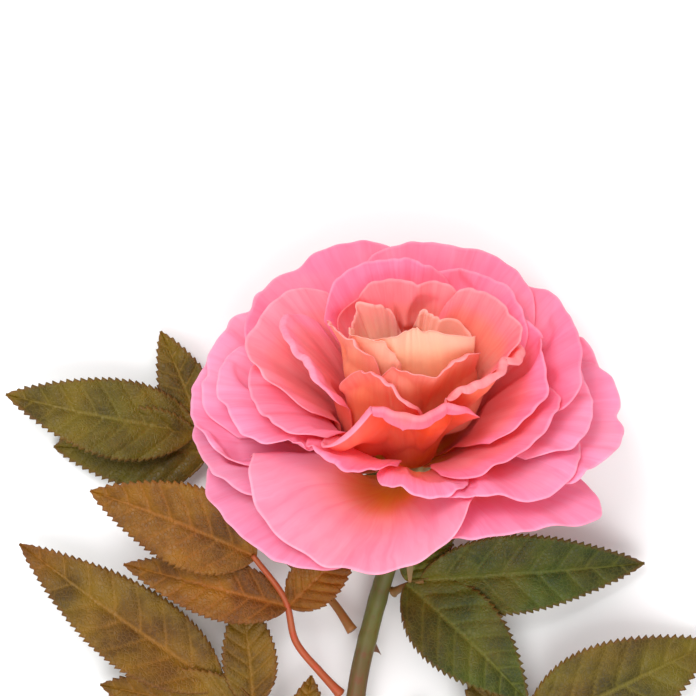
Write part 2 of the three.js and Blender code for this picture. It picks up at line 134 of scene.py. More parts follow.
# Listed from the heart outwards.
PETALS = [
    Petal("heart_petal_1", 90, 115, (6, 6, 5, 5, 6), (42, 43, 43), -4, warmth=0.9, pale=0.6),
    Petal("heart_petal_2", -86, 86, (16, 7, 4, 7, 18), (55, 57, 56), -7,
          corner=0.05, warmth=0.95, pale=0.9),
    Petal("heart_petal_3", -150, 42, (16, 10, 8, 9, 11), (56, 56, 53), -5,
          corner=0.08, warmth=0.9, pale=0.75),
    Petal("heart_petal_4", 138, 40, (16, 18, 19, 17, 11), (50, 52, 53), 0,
          corner=0.26, wave=1.8, warmth=0.75, pale=0.4),
    Petal("heart_petal_5", 50, 42, (17, 14, 12, 12, 12), (47, 51, 51), 2,
          corner=0.26, wave=1.8, warmth=0.75, pale=0.8),
    Petal("inner_petal_1", 190, 40, (29, 24, 19, 15, 12), (55, 57, 52), 1,
          roll=(1, 1, 1.2, 1.4, 1.4), warmth=0.8, pale=0.6),
    Petal("inner_petal_2", -68, 72, (14, 14, 16, 17, 22), (53, 51, 55), 2,
          roll=(1, 1, 1, 2, 1.4), warmth=0.85, pale=0.45),
    Petal("inner_petal_3", 24, 36, (29, 31, 29, 22, 17), (54, 58, 57), 2, warmth=0.6),
    Petal("inner_petal_4", -117, 41, (28, 21, 19, 22, 27), (52, 53, 47), 2,
          roll=(0.8, 1, 1.6, 2.0, 2.2), warmth=0.75, pale=0.2),
    Petal("inner_petal_5", -25, 42, (23, 24, 27, 30, 34), (50, 53, 56), 4,
          roll=(1.5, 3, 3.4, 3, 1.5), turn=140, warmth=0.7, pale=0.25),
    Petal("inner_petal_6", 90, 54, (26, 20, 17, 21, 27), (56, 57, 56), 3, warmth=0.45),
    Petal("middle_petal_1", 104, 42, (31, 26, 25, 30, 36), (60, 60, 60), 3, warmth=0.6),
    Petal("middle_petal_2", 178, 33, (40, 38, 34, 32, 31), (60, 56, 50), 3,
          roll=(1.2, 2.4, 2.6, 2.4, 1.5), turn=140, warmth=0.6, pale=0.2),
    Petal("middle_petal_3", 165, 38, (40, 44, 50, 45, 42), (60, 60, 53), 3,
          warmth=0.45, pale=0.35),
    Petal("middle_petal_4", 50, 38, (41, 37, 33, 31, 33), (58, 58, 57), 4, warmth=0.3),
    Petal("middle_petal_5", 192, 28, (48, 51, 52, 50, 43), (57, 55, 51), 12, warmth=0.15, pale=0.15),
    # warmth 1 gives this petal the full deep orange under face, partly its own colour and partly painted
    # glow of light through it
    Petal("middle_petal_6", -91, 52, (40, 28, 29, 26, 35), (50, 51, 51), 4,
          roll=(0.8, 4, 6.5, 5, 1), turn=150, radius=0.9, waist=0.72, warmth=1.0),
    Petal("middle_petal_7", -4, 38, (46, 45, 42, 38, 36), (49, 54, 58), 4, warmth=0.75),
    Petal("middle_petal_8", -36, 38, (50, 50, 51, 50, 49), (46, 52, 56), 4, warmth=0.6),
    Petal("middle_petal_9", -124, 26, (47, 48, 48, 47, 45), (49, 48, 45), 4,
          roll=(1, 1.6, 1.6, 1.2, 0.6), warmth=0.45),
    Petal("middle_petal_10", 72, 44, (50, 46, 42, 41, 42), (62, 62, 62), 4, warmth=0.4),
    Petal("middle_petal_11", 18, 38, (50, 52, 52, 50, 49), (57, 61, 62), 5, warmth=0.15),
    Petal("middle_petal_12", 126, 42, (43, 45, 49, 54, 58), (63, 64, 63), 5,
          warmth=0.05, notches=((0.1, 2.4, 0.09),)),
    Petal("outer_petal_1", 187, 31, (59, 60, 60, 58, 47), (61, 59, 52), 11,
          corner=0.1, warmth=0.1),
    Petal("outer_petal_2", -84, 26, (49, 51, 54, 53, 51), (48, 49, 47), 9,
          corner=0.26, warmth=0.6),
    Petal("outer_petal_3", -8, 28, (57, 60, 60, 57, 56), (56, 57, 57), 10, warmth=0.1),
    Petal("outer_petal_4", 156, 34, (57, 59, 62, 66, 68), (63, 64, 63), 5,
          notches=((-0.3, 2.6, 0.09), (0.42, 1.6, 0.07))),
    Petal("outer_petal_5", -45, 36, (52, 57, 64, 64, 63), (51, 55, 58), 10, warmth=0.1),
    Petal("outer_petal_6", 90, 44, (53, 49, 49, 53, 58), (60, 60, 61), 5),
    Petal("outer_petal_7", -112, 47, (60, 71, 77, 71, 55), (57, 58, 54), 4,
          corner=0.1, wave=1.4, pale=0.2, notches=((-0.2, 1.8, 0.12), (0.45, 2.2, 0.12))),
    Petal("outer_petal_8", 176, 26, (64, 67, 68, 68, 70), (63, 64, 62), 7),
    Petal("outer_petal_9", -7, 33, (62, 66, 71, 70, 64), (59, 62, 61), 7,
          notches=((0.2, 2.2, 0.08), (-0.5, 2.0, 0.1))),
    Petal("outer_petal_10", 40, 40, (66, 62, 60, 58, 57), (60, 60, 60), 6,
          notches=((0.3, 2.8, 0.1), (-0.25, 1.8, 0.08))),
    # the mauve values on outer_petal_11 and outer_petal_12 paint the shade on their undersides
    Petal("outer_petal_11", 186, 30, (71, 73, 74, 73, 72), (61, 61, 59), 6, mauve=0.6),
    Petal("outer_petal_12", -144, 34, (78, 79, 80, 80, 79), (60, 60, 59), 5, mauve=0.3),
    Petal("outer_petal_13", -52, 36, (68, 68, 71, 76, 80), (52, 56, 59), 6,
          notches=((0.55, -5, 0.25),)),
    Petal("outer_petal_14", 130, 42, (60, 62, 66, 74, 79), (59, 59, 59), 5),
    Petal("outer_petal_15", 66, 42, (70, 67, 64, 64, 66), (58, 58, 58), 5),
]


# ---- curves and small waves ----
def ease(x):
    """3x² - 2x³ on x held between 0 and 1."""
    x = np.clip(x, 0, 1)
    return x * x * (3 - 2 * x)


def catmull_rom(a, b, c, d, f):
    """The cubic from b to c at share f, its slope at b along c - a and at c along d - b."""
    square = a - 2.5 * b + 2 * c - 0.5 * d
    cube = 1.5 * (b - c) + 0.5 * (d - a)
    return b + f * (c - a) / 2 + f * f * square + f ** 3 * cube


def five_across(values, t):
    """Catmull-Rom curve through five values spread evenly over t from -1 to 1."""
    first = 2 * values[0] - values[1]
    last = 2 * values[4] - values[3]
    v = np.array([first, *values, last], float)
    x = np.clip((t + 1) * 2, 0, 3.99999)
    i = np.floor(x).astype(int)
    return catmull_rom(v[i], v[i + 1], v[i + 2], v[i + 3], x - i)


def three_across(values, t):
    """Parabola through three values at t = -1, 0 and 1."""
    a, b, c = values
    return b + (c - a) / 2 * t + ((a + c) / 2 - b) * t * t


def ripple(x, seed, pitches=(0.9, 1.7, 2.9, 4.7)):
    """Sum of four sines of x with falling heights, each started at its own phase of the seed."""
    total = 0 * x
    for k, pitch in enumerate(pitches):
        total = total + np.sin(2 * math.pi * pitch * x + seed * (2.3 + 1.9 * k)) / (1 + 0.7 * k)
    return total / 2


def soft_max(a, b, width):
    """The larger of a and b, rounded off over width where they meet."""
    return 0.5 * (a + b + np.sqrt((a - b) ** 2 + width * width))


# ---- petal surfaces ----
def petal_reach(order, t):
    """Distance of the rim: a parabola across, rounded corners, and a small uneven outline."""
    p = PETALS[order]
    rounding = 1 - p.corner * np.abs(t) ** CORNER_POWER
    uneven = 1 + OUTLINE_WAVE * p.wave * ripple(t, order + 0.5, OUTLINE_PITCHES)
    reach = three_across(p.reach, t) * rounding * uneven
    for place, depth, width in p.notches:
        reach = reach - depth * np.exp(-((t - place) / width) ** 2)
    return reach


def petal_spread(order, s):
    """Share of the full width: the waist at the foot, eased to 1."""
    waist = PETALS[order].waist
    return waist + (1 - waist) * ease(s / FULL_WIDTH)


def petal_opening(order, s, t):
    """Opening from the axis: claw angle eased to the rim's, a late flare, waves and a billow."""
    p = PETALS[order]
    rim = five_across(p.rim, t)
    claw = CLAW_FIRST + CLAW_STEP * order
    settle = ease(s / SETTLED)
    waves = RIM_WAVE * p.wave * s ** 3 * ripple(t + 0.15 * s, order, WAVE_PITCHES)
    billow = BILLOW * s * s * (1 - s) * ripple(0.7 * t + s, order + 9, BILLOW_PITCHES)
    flare = p.flare * s ** FLARE_POWER
    return claw * (1 - settle) + (rim - p.flare) * settle + flare + waves + billow


def nearest_on_petal(order, distance, azimuth):
    """Opening of the nearest place on a petal, and the millimetres outside it, step by step."""
    p = PETALS[order]
    turn = (azimuth - p.azimuth + 540) % 360 - 180
    s = np.full_like(distance, 0.8)
    t = np.clip(turn / p.half, -1, 1)
    for _ in range(NEAREST_STEPS):
        t = (t + np.clip(turn / (p.half * petal_spread(order, s)), -1, 1)) / 2
        s = np.clip((distance - CLAW_START) / (petal_reach(order, t) - CLAW_START), 0, 1)
    opening = petal_opening(order, s, t)
    width = p.half * petal_spread(order, s)
    girth = distance * np.sin(np.radians(np.maximum(opening, 4)))
    side = np.radians(np.maximum(np.abs(turn) - width, 0)) * girth
    beyond = np.maximum(distance - petal_reach(order, t), 0)
    return opening, np.hypot(side, beyond)


def layered_opening(order, distance, azimuth, own):
    """Own opening raised over every earlier petal plus a gap, sinking back past its edge."""
    grown = ease((distance - CLAW_START) / GAP_GROWTH)
    gap = np.degrees((LAYER_GAP_CLAW + (LAYER_GAP_RIM - LAYER_GAP_CLAW) * grown) / distance)
    floor = 0 * distance
    for k in range(order):
        opening, outside = nearest_on_petal(k, distance, azimuth)
        away = np.maximum(outside - DRAPE_MARGIN * distance, 0)
        drop = np.degrees((DRAPE_SLOPE * away + DRAPE_FALL * away * away) / distance)
        floor = np.maximum(floor, np.maximum(opening, floor) + gap - drop)
    return soft_max(own, floor, DRAPE_BLEND)


def bloom_point(distance, azimuth, opening):
    """Place at a distance from the base, turned by azimuth and opened from the axis."""
    turn = np.radians(azimuth)
    tip = np.radians(opening)
    radius = distance * np.sin(tip)
    return np.stack([radius * np.cos(turn), radius * np.sin(turn), distance * np.cos(tip)], -1)


def unit(v):
    """Vectors made one long."""
    return v / np.maximum(np.linalg.norm(v, axis=-1, keepdims=True), 1e-9)


def petal_middle(order):
    """Middle surface of a petal on a grid, with its share along, across, and distance to the rim.

    Past the rim the sheet turns back on an arc of the petal's radius until it has turned by the
    petal's angle, and then runs on straight.
    """
    p = PETALS[order]
    share = np.linspace(0, 1, PETAL_ROWS)
    s = ((1 - ROWS_TO_RIM) * share + ROWS_TO_RIM * (1 - (1 - share) ** 2))[:, None]
    t = np.linspace(-1, 1, PETAL_COLUMNS)[None, :]
    s, t = np.broadcast_arrays(s, t)
    distance = CLAW_START + (petal_reach(order, t) - CLAW_START) * s
    azimuth = p.azimuth + p.half * t * petal_spread(order, s)
    opening = layered_opening(order, distance, azimuth, petal_opening(order, s, t))
    body = bloom_point(distance, azimuth, opening)
    forward = unit(body[-1] - body[-3])
    across = np.gradient(body[-1], axis=0)
    outward = unit(np.cross(across, forward))
    edge = t[0]
    rolled = five_across(p.roll, edge) * (1 + ROLL_WAVE * ripple(edge, order + 4))
    corners = 1 - (1 - ROLL_AT_CORNERS) * np.abs(edge) ** 6
    rolled = np.maximum(rolled, ROLL_LEAST) * corners
    part = np.linspace(0, 1, ROLL_ROWS + 1)[1:, None]
    run = rolled[None, :] * part
    most = math.radians(p.turn)
    angle = np.minimum(run / p.radius, most)
    beyond = np.maximum(run - p.radius * most, 0)
    ahead = p.radius * np.sin(angle) + beyond * np.cos(angle)
    back = p.radius * (1 - np.cos(angle)) + beyond * np.sin(angle)
    roll = body[-1][None] + ahead[..., None] * forward[None] + back[..., None] * outward[None]
    points = np.concatenate([body, roll])
    along = np.concatenate([s, np.ones_like(run)])
    to_rim = np.concatenate([(1 - s) * (distance[-1] - CLAW_START) + rolled[None], rolled - run])
    return points, along, np.broadcast_to(edge, along.shape), to_rim


# ---- placing things ----
HIP_PROFILE = np.array([
    (0, -HIP_LENGTH),
    (2.9, -HIP_LENGTH),
    (HIP_RADIUS * 0.9, -HIP_LENGTH * 0.72),
    (HIP_RADIUS, -HIP_LENGTH * 0.45),
    (HIP_RADIUS * 0.9, -HIP_LENGTH * 0.18),
    (DOME * 0.98, -0.8),
    (DOME * 0.94, DOME * 0.34),
    (DOME * 0.64, DOME * 0.77),
    (0, DOME),
])
LEAN = math.radians(BLOOM_TILT)


def leaned(points):
    """Turns points of the upright bloom back about X, so that its axis leans towards +Y."""
    x, y, z = points[..., 0], points[..., 1], points[..., 2]
    back = y * math.cos(LEAN) + z * math.sin(LEAN)
    up = z * math.cos(LEAN) - y * math.sin(LEAN)
    return np.stack([x, back, up], -1)


def bloom_base():
    """The bloom's base, in millimetres: the hip's box less the reach of its own profile."""
    low, high = (np.array(corner) * 1000 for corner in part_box("hip"))
    radius, height = HIP_PROFILE.T
    back = np.max(radius * math.cos(LEAN) + height * math.sin(LEAN))
    down = np.min(height * math.cos(LEAN) - radius * math.sin(LEAN))
    return np.array([(low[0] + high[0]) / 2, high[1] - back, low[2] - down])


BASE = bloom_base()
GROUND = np.array([BASE[0], BASE[1], 0.0])


def on_bloom(points):
    """Points of the upright bloom, leaned and set down on its base."""
    return leaned(points) + BASE


# ---- meshes ----
def grid_quads(rows, columns, wrap=False):
    """Corner numbers of the quads of a grid, wrapped round its columns for a tube."""
    index = np.arange(rows * columns).reshape(rows, columns)
    if wrap:
        index = np.concatenate([index, index[:, :1]], 1)
    corners = (index[:-1, :-1], index[:-1, 1:], index[1:, 1:], index[1:, :-1])
    return np.stack(corners, -1).reshape(-1, 4)


def sheet_part(middle, thickness, values, material=0):
    """Closed sheet: the middle moved half a thickness each way, with a strip round its edge.

    Face 1 lies on the side that across x along points to, face 0 on the other.
    """
    rows, columns = middle.shape[:2]
    along = np.gradient(middle, axis=0)
    across = np.gradient(middle, axis=1)
    normal = unit(np.cross(across, along))
    half = np.broadcast_to(np.asarray(thickness) / 2, (rows, columns))[..., None]
    under = (middle + normal * half).reshape(-1, 3)
    over = (middle - normal * half).reshape(-1, 3)
    count = rows * columns
    quads = grid_quads(rows, columns)
    index = np.arange(count).reshape(rows, columns)
    loop = np.concatenate([index[0, :-1], index[:-1, -1], index[-1, :0:-1], index[:0:-1, 0]])
    nxt = np.roll(loop, -1)
    strip = np.stack([nxt, loop, loop + count, nxt + count], -1)
    faces = np.concatenate([quads, quads[:, ::-1] + count, strip])
    doubled = {name: np.concatenate([v.ravel(), v.ravel()]) for name, v in values.items()}
    doubled["face"] = np.concatenate([np.ones(count), np.zeros(count)])
    return {"points": np.concatenate([under, over]), "quads": faces, "caps": [],
            "values": doubled, "material": material}


def tube_part(rings, values, material=0):
    """Closed tube of rings, each end shut by one face."""
    rows, columns = rings.shape[:2]
    quads = grid_quads(rows, columns, wrap=True)
    first = list(range(columns))
    last = [(rows - 1) * columns + k for k in range(columns)]
    flat = {name: np.broadcast_to(v, (rows, columns)).ravel() for name, v in values.items()}
    flat["face"] = np.zeros(rows * columns)
    return {"points": rings.reshape(-1, 3), "quads": quads, "caps": [first[::-1], last],
            "values": flat, "material": material}


def make_piece(name, parts, materials, nodes):
    """One object from closed parts, in metres, smooth, riding on the root body."""
    points, faces, material_of = [], [], []
    names = sorted({key for part in parts for key in part["values"]})
    values = {key: [] for key in names}
    start = 0
    for part in parts:
        count = len(part["points"])
        points.append(part["points"])
        faces += (part["quads"] + start).tolist()
        faces += [[corner + start for corner in cap] for cap in part["caps"]]
        material_of += [part["material"]] * (len(part["quads"]) + len(part["caps"]))
        for key in names:
            values[key].append(part["values"].get(key, np.zeros(count)))
        start += count
    mesh = bpy.data.meshes.new(name)
    mesh.from_pydata((np.concatenate(points) / 1000).tolist(), [], faces)
    mesh.polygons.foreach_set("use_smooth", np.ones(len(mesh.polygons), bool))
    mesh.polygons.foreach_set("material_index", np.array(material_of, np.int32))
    for key in names:
        layer = mesh.attributes.new(key, "FLOAT", "POINT")
        layer.data.foreach_set("value", np.concatenate(values[key]).astype(np.float32))
    for material in materials:
        mesh.materials.append(material)
    mesh.update()
    piece = bpy.data.objects.new(name, mesh)
    bpy.context.scene.collection.objects.link(piece)
    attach(piece, "root")
    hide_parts(*nodes)
    return piece


# ---- materials ----
def linear(red, green, blue):
    """A colour given as 0 to 255 display values, made linear."""
    share = np.array([red, green, blue]) / 255
    return (*np.where(share <= 0.04045, share / 12.92, ((share + 0.055) / 1.055) ** 2.4), 1.0)


class Nodes:
    """Short words for building a node tree."""

    def __init__(self, tree):
        self.tree = tree

    def add(self, kind, **settings):
        node = self.tree.nodes.new(kind)
        for key, value in settings.items():
            setattr(node, key, value)
        return node

    def link(self, source, target):
        self.tree.links.new(source, target)

    def feed(self, socket, value):
        if isinstance(value, bpy.types.NodeSocket):
            self.link(value, socket)
        else:
            socket.default_value = value

    def value(self, name):
        """A piece's own attribute, as a number."""
        return self.add("ShaderNodeAttribute", attribute_name=name).outputs["Fac"]

    def math(self, operation, a, b=0.0, clamp=False):
        node = self.add("ShaderNodeMath", operation=operation, use_clamp=clamp)
        self.feed(node.inputs[0], a)
        self.feed(node.inputs[1], b)
        return node.outputs[0]

    def ramp(self, value, low, high, start=0.0, end=1.0):
        """Smooth step of a value between low and high."""
        node = self.add("ShaderNodeMapRange", interpolation_type="SMOOTHSTEP")
        for key, given in (("From Min", low), ("From Max", high), ("To Min", start), ("To Max", end)):
            self.feed(node.inputs[key], given)
        self.feed(node.inputs["Value"], value)
        return node.outputs["Result"]

    def mix(self, factor, a, b, blend="MIX"):
        node = self.add("ShaderNodeMix", data_type="RGBA", blend_type=blend)
        self.feed(node.inputs["Factor"], factor)
        self.feed(node.inputs[6], a)
        self.feed(node.inputs[7], b)
        return node.outputs[2]

    def noise(self, vector, scale, detail=3.0, roughness=0.55):
        node = self.add("ShaderNodeTexNoise")
        node.inputs["Scale"].default_value = scale
        node.inputs["Detail"].default_value = detail
        node.inputs["Roughness"].default_value = roughness
        self.feed(node.inputs["Vector"], vector)
        return node.outputs["Fac"]

    def bump(self, strength, distance, height):
        """The normal pushed about by a height, distance being in metres."""
        node = self.add("ShaderNodeBump")
        node.inputs["Strength"].default_value = strength
        node.inputs["Distance"].default_value = distance
        self.link(height, node.inputs["Height"])
        return node.outputs["Normal"]

    def group(self, tree, **given):
        """A node group with its named sockets fed."""
        node = self.add("ShaderNodeGroup", node_tree=tree)
        for key, value in given.items():
            self.feed(node.inputs[key], value)
        return node.outputs

    def vector(self, x, y, z):
        node = self.add("ShaderNodeCombineXYZ")
        for socket, value in zip(node.inputs, (x, y, z)):
            self.feed(socket, value)
        return node.outputs[0]

    def place(self):
        return self.add("ShaderNodeTexCoord").outputs["Object"]


def new_skin(name):
    """A material, its node builder and its main shader."""
    material = bpy.data.materials.new(name)
    material.use_nodes = True
    return material, Nodes(material.node_tree), material.node_tree.nodes["Principled BSDF"]


def let_light_through(nodes, shader, share, colour, normal=None):
    """Mixes the shader with a translucent one and sends both to the output."""
    through = nodes.add("ShaderNodeBsdfTranslucent")
    nodes.link(colour, through.inputs["Color"])
    if normal:
        nodes.link(normal, through.inputs["Normal"])
    both = nodes.add("ShaderNodeMixShader")
    both.inputs["Fac"].default_value = share
    nodes.link(shader.outputs["BSDF"], both.inputs[1])
    nodes.link(through.outputs["BSDF"], both.inputs[2])
    nodes.link(both.outputs["Shader"], nodes.tree.nodes["Material Output"].inputs["Surface"])


def new_group(name, inputs, outputs):
    """An empty node group with named sockets, and its two end nodes."""
    tree = bpy.data.node_groups.new(name, "ShaderNodeTree")
    for key, kind, value in inputs:
        socket = tree.interface.new_socket(key, in_out="INPUT", socket_type=f"NodeSocket{kind}")
        socket.default_value = value
    for key, kind in outputs:
        tree.interface.new_socket(key, in_out="OUTPUT", socket_type=f"NodeSocket{kind}")
    nodes = Nodes(tree)
    return nodes, nodes.add("NodeGroupInput").outputs, nodes.add("NodeGroupOutput").inputs


VEIN_COUNT = 17.0


def petal_veins_group():
    """Fine veins fanning from the claw, as a mask and a height: noise drawn out along the petal."""
    nodes, given, out = new_group(
        "petal veins",
        [("Along", "Float", 0.0), ("Across", "Float", 0.0), ("Seed", "Float", 0.0)],
        [("Streak", "Float"), ("Height", "Float")],
    )
    wide = nodes.math("MULTIPLY", given["Across"], VEIN_COUNT)
    slow = nodes.math("MULTIPLY", given["Across"], 3.0)
    bend = nodes.noise(nodes.vector(slow, given["Along"], given["Seed"]), 2.0)
    wide = nodes.math("ADD", wide, nodes.math("MULTIPLY", bend, 4.0))
    long = nodes.math("MULTIPLY", given["Along"], 2.2)
    streak = nodes.noise(nodes.vector(wide, long, given["Seed"]), 1.0, 3.0, 0.6)
    narrow = nodes.math("MULTIPLY", wide, 3.0)
    short = nodes.math("MULTIPLY", long, 2.0)
    fine = nodes.noise(nodes.vector(narrow, short, given["Seed"]), 1.0, 2.0)
    height = nodes.math("ADD", nodes.math("MULTIPLY", streak, 0.7), nodes.math("MULTIPLY", fine, 0.3))
    nodes.link(nodes.ramp(streak, 0.3, 0.75), out["Streak"])
    nodes.link(height, out["Height"])
    return nodes.tree


PETAL_VALUES = ("along", "across", "to_rim", "face", "warmth", "pale", "mauve")
CREAM = (255, 228, 196)
# painted shade: the cool colour a petal's underside takes in shadow
SHADE_MAUVE = (214, 150, 188)
CLAW_ORANGE = (255, 146, 58)
VEIN_TINT = (0.98, 0.56, 0.64, 1.0)
CLOUD_TINT = (1.0, 0.84, 0.88, 1.0)
VEIN_STRENGTH = 0.5
CLOUD_SCALE = 48.0
RIM_COOLING = 0.6


def petal_colour_group():
    """Colour of a petal from its own values.

    Pink and apricot are mixed by warmth, less so towards the rim; the foot goes orange, then the
    claw's yellow; pale tints the whole, and the mauve value paints shade, cooling a shaded
    underside; veins and clouds darken and soften it; and the last millimetre takes the margin's
    colour.
    """
    colours = ("upper pink", "upper apricot", "under pink", "under apricot", "claw", "margin")
    nodes, given, out = new_group(
        "petal colours",
        [(key, "Float", 0.0) for key in (*PETAL_VALUES, "streak", "cloud", "yellow reach")]
        + [(key, "Color", (1.0, 1.0, 1.0, 1.0)) for key in colours],
        [("Colour", "Color")],
    )
    cloud, along = given["cloud"], given["along"]
    # the rim of an apricot petal still turns pink
    uneven = nodes.math("ADD", given["to_rim"], nodes.math("MULTIPLY", cloud, 5.0))
    cooled = nodes.math("MULTIPLY", nodes.ramp(uneven, 13.0, 3.0), RIM_COOLING)
    cooled = nodes.math("ADD", cooled, nodes.ramp(along, 0.45, 1.0, 0.0, 0.22))
    warmth = nodes.math("SUBTRACT", given["warmth"], cooled, clamp=True)
    upper = nodes.mix(warmth, given["upper pink"], given["upper apricot"])
    under = nodes.mix(warmth, given["under pink"], given["under apricot"])
    colour = nodes.mix(given["face"], upper, under)
    foot = nodes.math("ADD", along, nodes.math("MULTIPLY", cloud, 0.16))
    aside = nodes.math("ABSOLUTE", given["across"])
    foot = nodes.math("ADD", foot, nodes.math("MULTIPLY", aside, 0.12))
    reach = given["yellow reach"]
    orange_end = nodes.math("ADD", reach, 0.26)
    orange = nodes.ramp(foot, orange_end, nodes.math("MULTIPLY", reach, 0.5), 0.0, 0.75)
    colour = nodes.mix(orange, colour, linear(*CLAW_ORANGE))
    yellow = nodes.ramp(foot, reach, nodes.math("MULTIPLY", reach, 0.4))
    colour = nodes.mix(yellow, colour, given["claw"])
    colour = nodes.mix(nodes.math("MULTIPLY", given["pale"], 0.6), colour, linear(*CREAM))
    # painted shade: the petal cooled by its mauve value, standing in for its underside in shadow
    colour = nodes.mix(nodes.math("MULTIPLY", given["mauve"], 0.6), colour, linear(*SHADE_MAUVE))
    calm = nodes.ramp(given["pale"], 0.3, 0.9, VEIN_STRENGTH, 0.25 * VEIN_STRENGTH)
    depth = nodes.math("MULTIPLY", given["streak"], calm)
    colour = nodes.mix(depth, colour, VEIN_TINT, "MULTIPLY")
    colour = nodes.mix(nodes.ramp(cloud, 0.4, 0.8, 0.0, 0.2), colour, CLOUD_TINT)
    colour = nodes.mix(nodes.ramp(given["to_rim"], 1.0, 0.1, 0.0, 0.3), colour, given["margin"])
    nodes.link(colour, out["Colour"])
    return nodes.tree


VEINS = petal_veins_group()
PETAL_COLOURS = petal_colour_group()
GLOW = (255, 224, 190)
SHEEN_TINT = (1.0, 0.86, 0.9, 1.0)
TRANSLUCENCE = 0.45


def petal_skin(name, upper, under, claw, margin, yellow_reach):
    """Petal material: the shared colours and veins, a soft sheen, and light glowing through.

    upper and under are pairs of colours (pink, apricot) mixed by the petal's own warmth;
    yellow_reach is the share of the petal over which the claw's yellow fades out.
    """
    material, nodes, shader = new_skin(name)
    values = {key: nodes.value(key) for key in (*PETAL_VALUES, "seed")}
    veins = nodes.group(VEINS, Along=values["along"], Across=values["across"], Seed=values.pop("seed"))
    cloud = nodes.noise(nodes.place(), CLOUD_SCALE, 3.0)
    tints = {"upper pink": upper[0], "upper apricot": upper[1], "under pink": under[0],
             "under apricot": under[1], "claw": claw, "margin": margin}
    tints = {key: linear(*tint) for key, tint in tints.items()}
    own = {"streak": veins["Streak"], "cloud": cloud, "yellow reach": yellow_reach}
    colour = nodes.group(PETAL_COLOURS, **values, **tints, **own)["Colour"]
    normal = nodes.bump(0.22, 0.0005, veins["Height"])
    nodes.link(colour, shader.inputs["Base Color"])
    nodes.link(nodes.ramp(veins["Height"], 0.2, 0.8, 0.6, 0.48), shader.inputs["Roughness"])
    nodes.link(normal, shader.inputs["Normal"])
    shader.inputs["Specular IOR Level"].default_value = 0.28
    shader.inputs["Sheen Weight"].default_value = 0.1
    shader.inputs["Sheen Roughness"].default_value = 0.4
    shader.inputs["Sheen Tint"].default_value = SHEEN_TINT
    glow = nodes.mix(0.7, colour, linear(*GLOW), "MULTIPLY")
    let_light_through(nodes, shader, TRANSLUCENCE, glow, normal)
    return material


# Each family: upper pink and apricot, under pink and apricot, claw, margin, reach of the yellow.
PETAL_TINTS = {
    "heart": (((255, 188, 186), (255, 218, 172)), ((255, 188, 176), (255, 208, 158)),
              (255, 200, 90), (255, 206, 210), 0.3),
    # The under apricots of the inner and middle petals are partly their own apricot and partly painted
    # light: deepened to a saturated orange for light bouncing between the petals and glowing through
    # them.
    "inner": (((255, 158, 172), (255, 182, 112)), ((255, 154, 142), (255, 140, 52)),
              (255, 186, 60), (255, 196, 210), 0.36),
    "middle": (((255, 156, 200), (255, 140, 112)), ((255, 144, 140), (255, 108, 12)),
               (252, 180, 44), (255, 200, 218), 0.38),
    "outer": (((255, 178, 220), (255, 150, 136)), ((252, 176, 212), (255, 150, 128)),
              (246, 190, 30), (255, 210, 226), 0.66),
}
PETAL_SKINS = {f"{family}_petals": petal_skin(f"{family} petal skin", *tints)
               for family, tints in PETAL_TINTS.items()}


LEAF_GREENS = ((30, 50, 4), (80, 90, 10))
LEAF_BROWNS = ((108, 56, 8), (160, 100, 16))
LEAF_UNDERSIDE = (84, 98, 36)
LEAF_VEINS = ((104, 116, 40), (176, 96, 26))
LEAF_MARGIN = (120, 70, 34)
LEAF_GLOW = (0.95, 1.0, 0.35, 1.0)
LEAF_TRANSLUCENCE = 0.2
NET_SCALE = 900.0


def leaf_skin():
    """Leaf blade: green to bronze by its own value, paler below, with veins and a fine net."""
    material, nodes, shader = new_skin("leaf blade")
    place = nodes.place()
    bronze, face, vein, to_rim = (nodes.value(k) for k in ("bronze", "face", "vein", "to_rim"))
    cloud = nodes.noise(place, 70.0, 4.0, 0.6)
    patch = nodes.noise(place, 28.0, 2.0)
    change = nodes.math("MULTIPLY", nodes.math("SUBTRACT", patch, 0.5), 0.9)
    tone = nodes.math("ADD", bronze, change, clamp=True)
    mottled = nodes.ramp(cloud, 0.3, 0.7)
    green, brown = (nodes.mix(mottled, *(linear(*tint) for tint in pair))
                    for pair in (LEAF_GREENS, LEAF_BROWNS))
    blade = nodes.mix(tone, green, brown)
    blade = nodes.mix(nodes.math("MULTIPLY", face, 0.55), blade, linear(*LEAF_UNDERSIDE))
    vein_tint = nodes.mix(tone, *(linear(*tint) for tint in LEAF_VEINS))
    blade = nodes.mix(nodes.math("MULTIPLY", vein, 0.75), blade, vein_tint)
    blade = nodes.mix(nodes.ramp(to_rim, 1.1, 0.1, 0.0, 0.5), blade, linear(*LEAF_MARGIN))
    cells = nodes.add("ShaderNodeTexVoronoi", feature="DISTANCE_TO_EDGE")
    cells.inputs["Scale"].default_value = NET_SCALE
    nodes.link(place, cells.inputs["Vector"])
    net = nodes.ramp(cells.outputs["Distance"], 0.0, 0.18)
    blade = nodes.mix(nodes.ramp(net, 0.0, 1.0, 0.22, 0.0), blade, vein_tint)
    height = nodes.math("ADD", nodes.math("MULTIPLY", net, 0.6), nodes.math("MULTIPLY", cloud, 0.8))
    nodes.link(blade, shader.inputs["Base Color"])
    nodes.link(nodes.ramp(cloud, 0.2, 0.8, 0.5, 0.36), shader.inputs["Roughness"])
    nodes.link(nodes.bump(0.5, 0.0004, height), shader.inputs["Normal"])
    shader.inputs["Specular IOR Level"].default_value = 0.3
    glow = nodes.mix(1.0, blade, LEAF_GLOW, "MULTIPLY")
    let_light_through(nodes, shader, LEAF_TRANSLUCENCE, glow)
    return material


